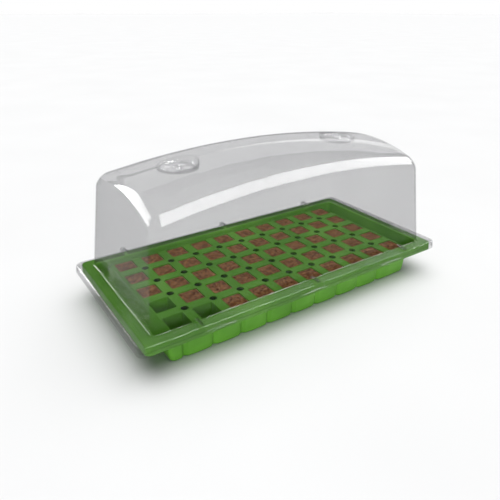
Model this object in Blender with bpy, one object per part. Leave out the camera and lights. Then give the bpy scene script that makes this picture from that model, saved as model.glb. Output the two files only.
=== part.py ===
"""Humidity dome tray: a ribbed base tray, a cell insert, a clear dome with two rotary air vents, and the
growing plugs that stand in the cells. Metres, +Z up, the origin under the middle of the tray's floor."""

import math

import bmesh
import bpy

MM = 0.001
GAP = 0.3 * MM

# The cell grid. Columns run along x and rows along y, both counted from the low corner.
CELL_PITCH = 45 * MM
CELL_COLUMNS = 10
CELL_ROWS = 5
EMPTY_CELLS = {(0, 0), (1, 0), (0, 1)}

# Base tray: a thin ribbed pan with a ledge for the insert and a flat rim with a lip turned down.
TRAY_WALL = 1.5 * MM
TRAY_FOOT = (219.5 * MM, 105.6 * MM, 5 * MM)
TRAY_BODY_LOW = (222.6 * MM, 108.0 * MM, 6 * MM)
TRAY_BODY_MID = (224.4 * MM, 108.7 * MM, 6.5 * MM)
TRAY_BODY_TOP = (226.5 * MM, 109.6 * MM, 7 * MM)
TRAY_LEDGE_Z = 34.6 * MM
TRAY_WELL_LOW = (242.6 * MM, 110.7 * MM, 8 * MM)
TRAY_WELL_TOP = (244.6 * MM, 111.5 * MM, 8 * MM)
TRAY_RIM_Z = 54 * MM
TRAY_RIM_EDGE = (261.4 * MM, 128.4 * MM, 8 * MM)
TRAY_LIP_LOW = (262.3 * MM, 129.2 * MM, 8 * MM)
TRAY_LIP_Z = 41 * MM
TRAY_LOW_Z = 2.5 * MM
TRAY_MID_Z = 9 * MM
RIB_WIDTH = 8.8 * MM
RIB_FLOOR_WIDTH = 5.0 * MM
RIB_DEPTH = 2.3 * MM
TRAY_CORNER_STEPS = 4

# Cell insert: a plate with tapered square cells, round air holes between them and a sloping skirt.
PLATE_TOP_Z = 48 * MM
PLATE_THICK = 1.2 * MM
PLATE_EDGE = (219.4 * MM, 107.6 * MM, 6 * MM)
PLATE_UNDER_EDGE = (219.6 * MM, 106.7 * MM, 5 * MM)
SKIRT_FOOT = (234.0 * MM, 108.8 * MM, 9 * MM)
SKIRT_WALL = 1.0 * MM
CELL_MOUTH = 29.8 * MM
CELL_FLOOR = 20.0 * MM
CELL_FLOOR_Z = 7 * MM
CELL_WALL = 1.0 * MM
CELL_CHAMFER = 3.2 * MM
DRAIN_RADIUS = 4 * MM
AIR_HOLE_RADIUS = 5.5 * MM
HOLE_SIDES = 8

# Growing plugs: a clearance all round in the cell, with the tops just under the plate's face.
PLUG_CLEARANCE = 0.5 * MM
PLUG_TOP_Z = 47.6 * MM
PLUG_BOTTOM_Z = 7.4 * MM

# Clear dome: a skirt outside the tray's rim, a flange on it, drafted walls and a roof crowned both ways.
DOME_WALL = 1.1 * MM
FLANGE_UNDER_Z = TRAY_RIM_Z + GAP
FLANGE_TOP_Z = FLANGE_UNDER_Z + DOME_WALL
SKIRT_LOW_Z = 42.5 * MM
DOME_SKIRT_LOW = (271.8 * MM, 131.2 * MM, 11 * MM)
DOME_SKIRT_TOP = (270.8 * MM, 130.7 * MM, 11 * MM)
DOME_FLANGE_EDGE = (269.6 * MM, 129.7 * MM, 10 * MM)
DOME_FOOT = (247.0 * MM, 113.2 * MM, 8 * MM)
DOME_TOP_CORNER = 15 * MM
DOME_DRAFT_X = 0.111
DOME_DRAFT_Y = 0.064
DOME_CROWN_Z = 236.5 * MM
ROOF_FALL_X = 18.0 * MM
ROOF_FALL_Y = 16.0 * MM
ROOF_SPAN_X = 216 * MM
ROOF_SPAN_Y = 90 * MM
EAVE_RADIUS = 19 * MM
EAVE_STEPS = 4
ROOF_SHARES = (0.82, 0.62, 0.42, 0.21)
DOME_CORNER_STEPS = 4

# Small pressed shapes on the dome: snap ridges on the skirt and hollow lugs on the flange.
RIDGE_CENTRES = (-158 * MM, 0.0, 158 * MM)
RIDGE_LENGTH = 48 * MM
RIDGE_RUN_OUT = 2 * MM
RIDGE_PROUD = 1.0 * MM
RIDGE_Z = (44.8 * MM, 46.6 * MM, 48.4 * MM)
LUG_CENTRES = (-188 * MM, 4 * MM, 192 * MM)
LUG_WIDTH = 9 * MM
LUG_HEIGHT = 6 * MM

# Rotary air vents: a round flat well in the roof, and a disc that turns on a post in its floor.
VENT_X = 144 * MM
WELL_FLOOR_Z = 221.2 * MM
WELL_FLOOR_RADIUS = 27.3 * MM
WELL_MOUTH_RADIUS = 29.3 * MM
WELL_SIDES = 32
POST_HOLE_RADIUS = 4.2 * MM
WINDOW_COUNT = 4
WINDOW_INNER = 10.5 * MM
WINDOW_OUTER = 20.5 * MM
WINDOW_ANGLE = math.radians(40)
WINDOW_STEPS = 4
DISC_RADIUS = 24.5 * MM
DISC_THICK = 1.6 * MM
DISC_RIM_WALL = 1.6 * MM
DISC_RIM_HEIGHT = 3.6 * MM
HUB_RADIUS = 7 * MM
HUB_HEIGHT = 4.2 * MM
POST_RADIUS = 3.8 * MM
BARB_RADIUS = 5.2 * MM
BARB_HEIGHT = 2.4 * MM
DISC_SIDES = 24
GRIP_LENGTH = 37 * MM
GRIP_WIDTH = 4.4 * MM
GRIP_HEIGHT = 6.4 * MM

CUT_EXTRA = 4 * MM


def clear_scene():
    for item in list(bpy.data.objects):
        bpy.data.objects.remove(item)


def plastic(name, colour, roughness, alpha=1.0):
    """A plain Principled material in one colour."""
    made = bpy.data.materials.new(name)
    made.use_nodes = True
    shader = made.node_tree.nodes["Principled BSDF"]
    shader.inputs["Base Color"].default_value = (*colour, 1.0)
    shader.inputs["Roughness"].default_value = roughness
    shader.inputs["Metallic"].default_value = 0.0
    shader.inputs["Alpha"].default_value = alpha
    made.diffuse_color = (*colour, alpha)
    return made


def add_object(name, mesh_maker, material=None, at=(0.0, 0.0, 0.0)):
    """An object whose mesh is what mesh_maker puts in an empty bmesh."""
    bm = bmesh.new()
    mesh_maker(bm)
    bmesh.ops.recalc_face_normals(bm, faces=bm.faces)
    mesh = bpy.data.meshes.new(name)
    bm.to_mesh(mesh)
    bm.free()
    made = bpy.data.objects.new(name, mesh)
    made.location = at
    bpy.context.scene.collection.objects.link(made)
    if material:
        mesh.materials.append(material)
    return made


def as_cutter(item):
    """Marks a helper shape that only shapes another piece."""
    item.hide_render = True
    item.display_type = "WIRE"
    return item


def add_boolean(item, operand, operation):
    step = item.modifiers.new(operation.lower(), "BOOLEAN")
    step.operation = operation
    step.solver = "EXACT"
    step.object = operand
    return step


def add_ring(bm, points, height):
    """Vertices at the plan points. height is one z, or a function of x and y."""
    if callable(height):
        return [bm.verts.new((x, y, height(x, y))) for x, y in points]
    return [bm.verts.new((x, y, height)) for x, y in points]


def join_rings(bm, first, second):
    count = len(first)
    for i in range(count):
        j = (i + 1) % count
        bm.faces.new((first[i], first[j], second[j], second[i]))


def join_all(bm, rings):
    for first, second in zip(rings, rings[1:]):
        join_rings(bm, first, second)


def fan_to(bm, ring, apex):
    for i in range(len(ring)):
        bm.faces.new((ring[i], ring[(i + 1) % len(ring)], apex))


def arc(centre_x, centre_y, radius, start, steps):
    """Points on a quarter circle, from the start angle, both ends included."""
    quarter = math.pi / 2
    angles = [start + quarter * i / steps for i in range(steps + 1)]
    return [(centre_x + radius * math.cos(a), centre_y + radius * math.sin(a)) for a in angles]


def rounded_outline(size, corner_steps, long_marks=(), short_marks=(), depth=1.0, stretch=1.0):
    """A rounded rectangle, anticlockwise from its low y side. size is (half x, half y, corner radius).
    A mark is (place along the side, how far the outline steps in there); the side opposite has the same
    marks turned by half a turn. depth scales the steps and stretch scales the places."""
    half_x, half_y, radius = size
    straight_x, straight_y = half_x - radius, half_y - radius
    low = [(x * stretch, -half_y + step * depth) for x, step in long_marks]
    right = [(half_x - step * depth, y * stretch) for y, step in short_marks]
    points = low
    points = points + arc(straight_x, -straight_y, radius, -math.pi / 2, corner_steps)
    points = points + right
    points = points + arc(straight_x, straight_y, radius, 0.0, corner_steps)
    points = points + [(-x, -y) for x, y in low]
    points = points + arc(-straight_x, straight_y, radius, math.pi / 2, corner_steps)
    points = points + [(-x, -y) for x, y in right]
    points = points + arc(-straight_x, -straight_y, radius, math.pi, corner_steps)
    return points


def grown(size, amount):
    """A rounded rectangle's size with its outline moved out by amount, or in where that is negative."""
    half_x, half_y, radius = size
    return (half_x + amount, half_y + amount, max(radius + amount, 1 * MM))


def circle(radius, sides, turn=0.0, centre=(0.0, 0.0)):
    angles = [turn + 2 * math.pi * i / sides for i in range(sides)]
    return [(centre[0] + radius * math.cos(a), centre[1] + radius * math.sin(a)) for a in angles]


def cell_centre(column, row):
    x = (column - (CELL_COLUMNS - 1) / 2) * CELL_PITCH
    y = (row - (CELL_ROWS - 1) / 2) * CELL_PITCH
    return x, y


# Base tray


def groove_marks(centres):
    """Four outline marks for each groove: its two lips and the two sides of its floor."""
    marks = []
    for centre in centres:
        marks.append((centre - RIB_WIDTH / 2, 0.0))
        marks.append((centre - RIB_FLOOR_WIDTH / 2, RIB_DEPTH))
        marks.append((centre + RIB_FLOOR_WIDTH / 2, RIB_DEPTH))
        marks.append((centre + RIB_WIDTH / 2, 0.0))
    return marks


def base_tray(bm):
    long_marks = groove_marks([cell_centre(c, 0)[0] for c in range(CELL_COLUMNS - 1)])
    short_marks = groove_marks([(r - 1.5) * CELL_PITCH for r in range(CELL_ROWS - 1)])

    def ring(size, z, grooves):
        outline = rounded_outline(size, TRAY_CORNER_STEPS, long_marks, short_marks, grooves)
        return add_ring(bm, outline, z)

    ledge_under = TRAY_LEDGE_Z - TRAY_WALL
    rim_under = TRAY_RIM_Z - TRAY_WALL
    outside = [
        ring(TRAY_FOOT, 0.0, 1.0),
        ring(TRAY_BODY_LOW, TRAY_LOW_Z, 1.0),
        ring(TRAY_BODY_MID, TRAY_MID_Z, 1.0),
        ring(TRAY_BODY_TOP, ledge_under, 1.0),
        ring(grown(TRAY_WELL_LOW, TRAY_WALL), ledge_under, 0.0),
        ring(grown(TRAY_WELL_TOP, TRAY_WALL), rim_under, 0.0),
        ring(grown(TRAY_RIM_EDGE, -TRAY_WALL), rim_under, 0.0),
        ring(grown(TRAY_LIP_LOW, -TRAY_WALL), TRAY_LIP_Z, 0.0),
    ]
    inside = [
        ring(TRAY_LIP_LOW, TRAY_LIP_Z, 0.0),
        ring(TRAY_RIM_EDGE, TRAY_RIM_Z, 0.0),
        ring(TRAY_WELL_TOP, TRAY_RIM_Z, 0.0),
        ring(TRAY_WELL_LOW, TRAY_LEDGE_Z, 0.0),
        ring(grown(TRAY_BODY_TOP, -TRAY_WALL), TRAY_LEDGE_Z, 1.0),
        ring(grown(TRAY_BODY_MID, -TRAY_WALL), TRAY_MID_Z + TRAY_WALL / 2, 1.0),
        ring(grown(TRAY_BODY_LOW, -TRAY_WALL), TRAY_LOW_Z + TRAY_WALL * 0.8, 1.0),
        ring(grown(TRAY_FOOT, -TRAY_WALL), TRAY_WALL, 1.0),
    ]
    join_all(bm, outside + inside)
    bm.faces.new(outside[0])
    bm.faces.new(inside[-1])


# Cell insert and plugs


def cell_outline(width, centre):
    """A square with cut corners, eight points, anticlockwise."""
    half = width / 2
    cut = half - CELL_CHAMFER
    corner = [(half, -cut), (half, cut), (cut, half), (-cut, half)]
    points = corner + [(-x, -y) for x, y in corner]
    return [(centre[0] + x, centre[1] + y) for x, y in points]


def fill_between(bm, loops):
    """Fills the flat area inside the first loop and outside the others."""
    edges = []
    for loop in loops:
        for i in range(len(loop)):
            pair = (loop[i], loop[(i + 1) % len(loop)])
            edges.append(bm.edges.get(pair) or bm.edges.new(pair))
    bmesh.ops.triangle_fill(bm, use_beauty=True, use_dissolve=False, edges=edges)


def cell_insert(bm):
    plate_under = PLATE_TOP_Z - PLATE_THICK
    skirt_foot_z = TRAY_LEDGE_Z + GAP
    skirt = [
        add_ring(bm, rounded_outline(PLATE_EDGE, 3), PLATE_TOP_Z),
        add_ring(bm, rounded_outline(SKIRT_FOOT, 3), skirt_foot_z),
        add_ring(bm, rounded_outline(grown(SKIRT_FOOT, -SKIRT_WALL), 3), skirt_foot_z),
        add_ring(bm, rounded_outline(PLATE_UNDER_EDGE, 3), plate_under),
    ]
    join_all(bm, skirt)
    top_loops, under_loops = [skirt[0]], [skirt[-1]]
    for column in range(CELL_COLUMNS):
        for row in range(CELL_ROWS):
            centre = cell_centre(column, row)
            drain = circle(DRAIN_RADIUS, 8, -math.pi / 8, centre)
            wall = 2 * CELL_WALL
            rings = [
                add_ring(bm, cell_outline(CELL_MOUTH, centre), PLATE_TOP_Z),
                add_ring(bm, cell_outline(CELL_FLOOR, centre), CELL_FLOOR_Z),
                add_ring(bm, drain, CELL_FLOOR_Z),
                add_ring(bm, drain, CELL_FLOOR_Z - CELL_WALL),
                add_ring(bm, cell_outline(CELL_FLOOR + wall, centre), CELL_FLOOR_Z - CELL_WALL),
                add_ring(bm, cell_outline(CELL_MOUTH + wall, centre), plate_under),
            ]
            join_all(bm, rings)
            top_loops.append(rings[0])
            under_loops.append(rings[-1])
    for column in range(CELL_COLUMNS - 1):
        for row in range(CELL_ROWS - 1):
            x, y = cell_centre(column, row)
            hole = circle(AIR_HOLE_RADIUS, HOLE_SIDES, 0.0, (x + CELL_PITCH / 2, y + CELL_PITCH / 2))
            rings = [add_ring(bm, hole, PLATE_TOP_Z), add_ring(bm, hole, plate_under)]
            join_all(bm, rings)
            top_loops.append(rings[0])
            under_loops.append(rings[1])
    fill_between(bm, top_loops)
    fill_between(bm, under_loops)


def plug(bm):
    """A growing plug about its own foot: the cell's taper, smaller by the clearance."""
    slope = (CELL_MOUTH - CELL_FLOOR) / (PLATE_TOP_Z - CELL_FLOOR_Z)
    top_width = CELL_MOUTH - slope * (PLATE_TOP_Z - PLUG_TOP_Z) - 2 * PLUG_CLEARANCE
    foot_width = CELL_FLOOR + slope * (PLUG_BOTTOM_Z - CELL_FLOOR_Z) - 2 * PLUG_CLEARANCE
    foot = add_ring(bm, cell_outline(foot_width, (0.0, 0.0)), 0.0)
    top = add_ring(bm, cell_outline(top_width, (0.0, 0.0)), PLUG_TOP_Z - PLUG_BOTTOM_Z)
    join_rings(bm, foot, top)
    bm.faces.new(foot)
    bm.faces.new(top)


def add_plugs(material):
    """One object for each filled cell, all sharing one mesh."""
    shared = None
    for row in range(CELL_ROWS):
        for column in range(CELL_COLUMNS):
            if (column, row) in EMPTY_CELLS:
                continue
            x, y = cell_centre(column, row)
            name = f"plug_row{row + 1}_col{column + 1:02d}"
            if shared is None:
                made = add_object(name, plug, material, (x, y, PLUG_BOTTOM_Z))
                shared = made.data
            else:
                made = bpy.data.objects.new(name, shared)
                made.location = (x, y, PLUG_BOTTOM_Z)
                bpy.context.scene.collection.objects.link(made)


# Dome


def roof_height(x, y):
    return DOME_CROWN_Z - ROOF_FALL_X * (x / ROOF_SPAN_X) ** 2 - ROOF_FALL_Y * (y / ROOF_SPAN_Y) ** 2


def dome_marks():
    """Outline marks on the dome's sides: the ends of the snap ridges, and stations between them."""
    long_marks = []
    for centre in RIDGE_CENTRES:
        half = RIDGE_LENGTH / 2
        long_marks.append((centre - half, 0.0))
        long_marks.append((centre - half + RIDGE_RUN_OUT, -RIDGE_PROUD))
        long_marks.append((centre + half - RIDGE_RUN_OUT, -RIDGE_PROUD))
        long_marks.append((centre + half, 0.0))
        long_marks.append((centre, -RIDGE_PROUD))
    between = [(side * x * MM, 0.0) for side in (-1, 1) for x in (52, 79, 106, 208)]
    long_marks = sorted(long_marks + between)
    short_marks = [(share * 70 * MM, 0.0) for share in (-1.0, -0.5, 0.0, 0.5, 1.0)]
    return long_marks, short_marks


def dome_form(bm, inset):
    """The dome's outside as a closed solid, or the space inside it where inset is the wall thickness."""
    long_marks, short_marks = dome_marks()
    straight_base = DOME_SKIRT_LOW[0] - DOME_SKIRT_LOW[2]

    def plan(size, ridges=0.0):
        stretch = (size[0] - size[2]) / straight_base
        return rounded_outline(size, DOME_CORNER_STEPS, long_marks, short_marks, ridges, stretch)

    def ring(size, z, ridges=0.0):
        return add_ring(bm, plan(grown(size, -inset), ridges), z)

    low_z = SKIRT_LOW_Z - (CUT_EXTRA if inset else 0.0)
    flange_z = FLANGE_TOP_Z - inset
    rings = [
        ring(DOME_SKIRT_LOW, low_z),
        ring(DOME_SKIRT_LOW, RIDGE_Z[0]),
        ring(DOME_SKIRT_LOW, RIDGE_Z[1], 1.0),
        ring(DOME_SKIRT_LOW, RIDGE_Z[2]),
        ring(DOME_SKIRT_TOP, flange_z - 1.2 * MM),
        ring(DOME_FLANGE_EDGE, flange_z),
        ring(DOME_FOOT, flange_z),
    ]
    top_size = (DOME_FOOT[0], DOME_FOOT[1], DOME_TOP_CORNER)
    wall = [drafted(x, y, inset) for x, y in plan(grown(top_size, -inset))]
    inner_size = grown(DOME_FOOT, -inset - EAVE_RADIUS)
    inner_foot = plan((inner_size[0], inner_size[1], 2 * MM))
    roof = [drafted(x, y, inset) for x, y in inner_foot]
    for step in range(EAVE_STEPS + 1):
        turn = math.pi / 2 * step / EAVE_STEPS
        eave = [eave_point(a, b, turn) for a, b in zip(wall, roof)]
        rings.append([bm.verts.new(p) for p in eave])
    for share in ROOF_SHARES:
        shrunk = [(x * share, y * share) for x, y, z in roof]
        rings.append(add_ring(bm, shrunk, lambda x, y: roof_height(x, y) - inset))
    join_all(bm, rings)
    bm.faces.new(rings[0])
    fan_to(bm, rings[-1], bm.verts.new((0.0, 0.0, DOME_CROWN_Z - inset)))


def drafted(foot_x, foot_y, inset):
    """Where the wall that starts at a foot point meets the roof, walls leaning in by their draft."""
    z = DOME_CROWN_Z - ROOF_FALL_X - ROOF_FALL_Y
    x, y = foot_x, foot_y
    for _ in range(12):
        rise = z - FLANGE_TOP_Z
        x = foot_x * (1 - DOME_DRAFT_X * rise / DOME_FOOT[0])
        y = foot_y * (1 - DOME_DRAFT_Y * rise / DOME_FOOT[1])
        z = roof_height(x, y) - inset
    return x, y, z


def eave_point(wall, roof, turn):
    """A point on the rounded eave, from the wall at turn 0 to the roof at a quarter turn."""
    below = (wall[0], wall[1], wall[2] - EAVE_RADIUS)
    up_share, in_share = 1 - math.sin(turn), 1 - math.cos(turn)
    point = []
    for corner, low, inward in zip(wall, below, roof):
        point.append(corner + (low - corner) * up_share + (inward - corner) * in_share)
    return point


def lugs(bm, inset):
    """Six bars across the flange, from inside the wall to its edge."""
    outer_y = DOME_SKIRT_TOP[1] - inset
    inner_y = DOME_FOOT[1] - 2 * MM
    low_z = FLANGE_TOP_Z - DOME_WALL - (CUT_EXTRA if inset else 0.4 * MM)
    top_z = FLANGE_TOP_Z + LUG_HEIGHT - inset
    half = LUG_WIDTH / 2 - inset
    slope = 1 * MM
    for side in (-1, 1):
        for centre in LUG_CENTRES:
            x = centre * -side
            near, far = side * inner_y, side * outer_y
            base = [(x - half, near), (x + half, near), (x + half, far), (x - half, far)]
            far_top = far - side * slope
            top_half = half - slope
            top = [(x - top_half, near), (x + top_half, near), (x + top_half, far_top), (x - top_half, far_top)]
            rings = [add_ring(bm, base, low_z), add_ring(bm, top, top_z)]
            join_all(bm, rings)
            bm.faces.new(rings[0])
            bm.faces.new(rings[1])


def wells(bm, inset):
    """A tapered round plug over each vent. With inset it is the well's jacket, bigger by the wall."""
    for side in (-1, 1):
        centre = (side * VENT_X, 0.0)
        floor = circle(WELL_FLOOR_RADIUS + inset, WELL_SIDES, 0.0, centre)
        mouth = circle(WELL_MOUTH_RADIUS + inset + 0.8 * MM, WELL_SIDES, 0.0, centre)
        rings = [add_ring(bm, floor, WELL_FLOOR_Z - inset), add_ring(bm, mouth, DOME_CROWN_Z + CUT_EXTRA)]
        join_all(bm, rings)
        bm.faces.new(rings[0])
        bm.faces.new(rings[1])


def window_outline(middle):
    """A ring segment about the vent's centre."""
    angles = [middle + WINDOW_ANGLE * (i / WINDOW_STEPS - 0.5) for i in range(WINDOW_STEPS + 1)]
    outer = [(WINDOW_OUTER * math.cos(a), WINDOW_OUTER * math.sin(a)) for a in angles]
    inner = [(WINDOW_INNER * math.cos(a), WINDOW_INNER * math.sin(a)) for a in reversed(angles)]
    return outer + inner


def windows(bm, first_turn, low_z, high_z, centres, post_hole=False):
    """Through cuts for the air windows, and for the post's hole where asked."""
    outlines = []
    for i in range(WINDOW_COUNT):
        outlines.append(window_outline(first_turn + 2 * math.pi * i / WINDOW_COUNT))
    if post_hole:
        outlines.append(circle(POST_HOLE_RADIUS, DISC_SIDES))
    for centre_x in centres:
        for outline in outlines:
            moved = [(x + centre_x, y) for x, y in outline]
            rings = [add_ring(bm, moved, low_z), add_ring(bm, moved, high_z)]
            join_all(bm, rings)
            bm.faces.new(rings[0])
            bm.faces.new(rings[1])


def add_dome(material):
    dome = add_object("dome", lambda bm: dome_form(bm, 0.0), material)
    inside = as_cutter(add_object("dome_inside", lambda bm: dome_form(bm, DOME_WALL)))
    lug_solid = as_cutter(add_object("lug_solids", lambda bm: lugs(bm, 0.0)))
    lug_space = as_cutter(add_object("lug_spaces", lambda bm: lugs(bm, DOME_WALL)))
    well_space = as_cutter(add_object("well_spaces", lambda bm: wells(bm, 0.0)))
    well_jacket = as_cutter(add_object("well_jackets", lambda bm: wells(bm, DOME_WALL)))

    def cuts(bm):
        low, high = WELL_FLOOR_Z - CUT_EXTRA, WELL_FLOOR_Z + CUT_EXTRA / 2
        windows(bm, math.pi / 4, low, high, (-VENT_X, VENT_X), post_hole=True)

    vent_cuts = as_cutter(add_object("vent_cuts", cuts))
    add_boolean(inside, lug_space, "UNION")
    add_boolean(inside, well_jacket, "DIFFERENCE")
    add_boolean(dome, lug_solid, "UNION")
    add_boolean(dome, well_space, "DIFFERENCE")
    add_boolean(dome, inside, "DIFFERENCE")
    add_boolean(dome, vent_cuts, "DIFFERENCE")
    return dome


# Vent discs, about the post's axis, with z up from the well's floor


def disc_body(bm):
    """The turned shape: barbed post, plate, hub and rim."""
    barb_top = -DOME_WALL - GAP
    barb_low = barb_top - BARB_HEIGHT
    plate_top = GAP + DISC_THICK
    profile = [
        (POST_RADIUS * 0.8, barb_low),
        (BARB_RADIUS, barb_top - 0.6 * MM),
        (BARB_RADIUS, barb_top),
        (POST_RADIUS, barb_top),
        (POST_RADIUS, GAP),
        (DISC_RADIUS, GAP),
        (DISC_RADIUS, GAP + DISC_RIM_HEIGHT),
        (DISC_RADIUS - DISC_RIM_WALL, GAP + DISC_RIM_HEIGHT),
        (DISC_RADIUS - DISC_RIM_WALL, plate_top),
        (HUB_RADIUS, plate_top),
        (HUB_RADIUS - 0.6 * MM, GAP + HUB_HEIGHT),
    ]
    half_step = math.pi / DISC_SIDES
    rings = [add_ring(bm, circle(r, DISC_SIDES, half_step), z) for r, z in profile]
    join_all(bm, rings)
    bm.faces.new(rings[0])
    bm.faces.new(rings[-1])


def grip_bar(bm):
    """A finger bar across the disc, narrower at its top."""
    low_z, high_z = GAP + DISC_THICK / 2, GAP + GRIP_HEIGHT
    half_x, half_y = GRIP_LENGTH / 2, GRIP_WIDTH / 2
    taper = 0.7 * MM
    base = rounded_outline((half_x, half_y, half_y * 0.9), 3)
    top = rounded_outline((half_x - 2 * taper, half_y - taper, (half_y - taper) * 0.9), 3)
    rings = [add_ring(bm, base, low_z), add_ring(bm, top, high_z)]
    join_all(bm, rings)
    bm.faces.new(rings[0])
    bm.faces.new(rings[1])


def add_vent_disc(name, side, material):
    at = (side * VENT_X, 0.0, WELL_FLOOR_Z)
    disc = add_object(name, disc_body, material, at)
    grip = as_cutter(add_object(name + "_grip", grip_bar, None, at))

    def cuts(bm):
        windows(bm, 0.0, 0.0, DISC_RIM_HEIGHT + CUT_EXTRA, (0.0,))

    window_cuts = as_cutter(add_object(name + "_windows", cuts, None, at))
    grip.rotation_euler = (0.0, 0.0, math.pi / 4)
    add_boolean(disc, window_cuts, "DIFFERENCE")
    add_boolean(disc, grip, "UNION")
    return disc


def smooth_by_angle():
    for item in bpy.data.objects:
        if item.type == "MESH":
            item.data.shade_smooth()
            item.data.set_sharp_from_angle(angle=math.radians(35))


def main():
    clear_scene()
    green = plastic("green_plastic", (0.098, 0.296, 0.048), 0.42)
    insert_green = plastic("insert_green_plastic", (0.085, 0.270, 0.042), 0.45)
    clear = plastic("clear_plastic", (0.90, 0.92, 0.92), 0.08, 0.25)
    vent_clear = plastic("vent_clear_plastic", (0.88, 0.90, 0.90), 0.12, 0.35)
    sponge = plastic("plug_sponge", (0.258, 0.088, 0.032), 0.92)
    add_object("base_tray", base_tray, green)
    add_object("cell_insert", cell_insert, insert_green)
    add_dome(clear)
    add_vent_disc("vent_disc_left", -1, vent_clear)
    add_vent_disc("vent_disc_right", 1, vent_clear)
    add_plugs(sponge)
    smooth_by_angle()


main()
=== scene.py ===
"""The looks of the humidity dome tray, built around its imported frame.

Each moulding and each growing plug gets a fine visual piece that stands for its CAD node. Metres, +Z up, in
the frame's own axes: the origin is under the middle of the tray's floor."""

import math

import bmesh
import bpy
from mathutils import Matrix, Quaternion, Vector, noise


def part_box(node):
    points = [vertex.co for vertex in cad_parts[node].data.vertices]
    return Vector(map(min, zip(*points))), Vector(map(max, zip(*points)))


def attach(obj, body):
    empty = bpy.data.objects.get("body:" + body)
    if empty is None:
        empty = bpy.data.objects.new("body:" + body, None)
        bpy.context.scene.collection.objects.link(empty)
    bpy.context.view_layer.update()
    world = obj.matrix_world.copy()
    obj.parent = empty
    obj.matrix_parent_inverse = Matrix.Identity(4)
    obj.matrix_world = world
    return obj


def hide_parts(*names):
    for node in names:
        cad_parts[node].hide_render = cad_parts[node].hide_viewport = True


MM = 0.001
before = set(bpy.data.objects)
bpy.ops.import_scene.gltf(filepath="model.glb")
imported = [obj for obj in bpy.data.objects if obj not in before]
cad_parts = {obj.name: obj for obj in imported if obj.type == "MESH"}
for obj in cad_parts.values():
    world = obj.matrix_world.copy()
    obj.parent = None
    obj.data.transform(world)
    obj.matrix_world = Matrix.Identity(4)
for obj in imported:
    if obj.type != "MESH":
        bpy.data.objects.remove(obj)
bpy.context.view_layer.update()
TRAY_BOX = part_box("base_tray")
INSERT_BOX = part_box("cell_insert")
DOME_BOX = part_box("dome")
DISC_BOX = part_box("vent_disc_right")
PLUG_NODES = sorted(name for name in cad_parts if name.startswith("plug_"))

# The cell grid, counted from the low corner.
CELL_PITCH = 45 * MM
CELL_COLUMNS = 10
CELL_ROWS = 5
PLATE_TOP_Z = INSERT_BOX[1].z
PLATE_THICK = 1.2 * MM
CELL_MOUTH = 29.8 * MM
CELL_FLOOR = 20.0 * MM
CELL_FLOOR_Z = INSERT_BOX[0].z + 1 * MM
CELL_WALL = 1.0 * MM
DRAIN_RADIUS = 4 * MM
AIR_HOLE_RADIUS = 5.5 * MM
LIP_HEIGHT = 0.5 * MM
LIP_WIDTH = 1.0 * MM
PLATE_END = 219.4 * MM
PLATE_SIDE = 107.6 * MM

# How far each growing plug narrows to its foot on each side, and how uneven its faces are.
PLUG_TAPER = 4.8 * MM
PLUG_LUMPS = 0.8 * MM
PLUG_TOP_LUMPS = 0.7 * MM

# Base tray levels and walls.
TRAY_WALL = 1.5 * MM
TRAY_RIM_Z = TRAY_BOX[1].z
TRAY_LEDGE_Z = 34.6 * MM
TRAY_LIP_Z = TRAY_RIM_Z - 13 * MM
TRAY_END = TRAY_BOX[1].x
TRAY_SIDE = TRAY_BOX[1].y
RIB_WIDTH = 11.0 * MM
RIB_DEPTH = 3.0 * MM
PANEL_BOW = 0.9 * MM

# Dome.
DOME_WALL = 1.1 * MM
SKIRT_LOW_Z = DOME_BOX[0].z
DOME_CROWN_Z = DOME_BOX[1].z
DOME_END = DOME_BOX[1].x
RIDGE_PROUD = 1.0 * MM
DOME_SIDE = DOME_BOX[1].y - RIDGE_PROUD
FLANGE_TOP_Z = TRAY_RIM_Z + 0.3 * MM + DOME_WALL
DOME_FOOT = (247.0 * MM, 113.2 * MM, 8 * MM)
DOME_TOP_CORNER = 15 * MM
DOME_DRAFT_X = 0.111
DOME_DRAFT_Y = 0.064
ROOF_FALL_X = 18.0 * MM
ROOF_FALL_Y = 16.0 * MM
ROOF_SPAN_X = 216 * MM
ROOF_SPAN_Y = 90 * MM
EAVE_RADIUS = 19 * MM
RIDGE_CENTRES = (-158 * MM, 0.0, 158 * MM)
RIDGE_LENGTH = 48 * MM
# One end of a snap ridge: place as a share of the ridge's length, and share of its full height.
RIDGE_END = ((0.5, 0.0), (0.48, 0.35), (0.45, 0.85), (0.41, 1.0), (0.2, 1.0))
# Stations on the long sides between the ridges, and how far apart they are on the ends.
SIDE_STATIONS_MM = (38, 52, 66, 79, 92, 106, 120, 196, 210)
END_STATION_MM = 14
SKIRT_CORNER = 11 * MM
LUG_CENTRES = (-188 * MM, 4 * MM, 192 * MM)
LUG_WIDTH = 9 * MM
LUG_HEIGHT = 6 * MM

# Vents.
VENT_X = (DISC_BOX[0].x + DISC_BOX[1].x) / 2
WELL_FLOOR_Z = 221.2 * MM
WELL_FLOOR_RADIUS = 27.3 * MM
WELL_MOUTH_RADIUS = 30.1 * MM
POST_HOLE_RADIUS = 4.2 * MM
WINDOW_INNER = 10.5 * MM
WINDOW_OUTER = 20.5 * MM
WINDOW_ANGLE = math.radians(40)
DISC_RADIUS = 24.5 * MM
POST_RADIUS = 3.8 * MM
BARB_RADIUS = 5.2 * MM
GRIP_HALF_LENGTH = 18.5 * MM
GRIP_HALF_WIDTH = 2.2 * MM
GRIP_HEIGHT = 6.4 * MM
# The room left between parts that lie on each other.
GAP = 0.3 * MM
# How far a cutter reaches past what it cuts.
CUT_EXTRA = 4 * MM
# The angle above which the edges of the clear parts stay sharp, in degrees.
CLEAR_SHARP_ANGLE = 32

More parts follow.
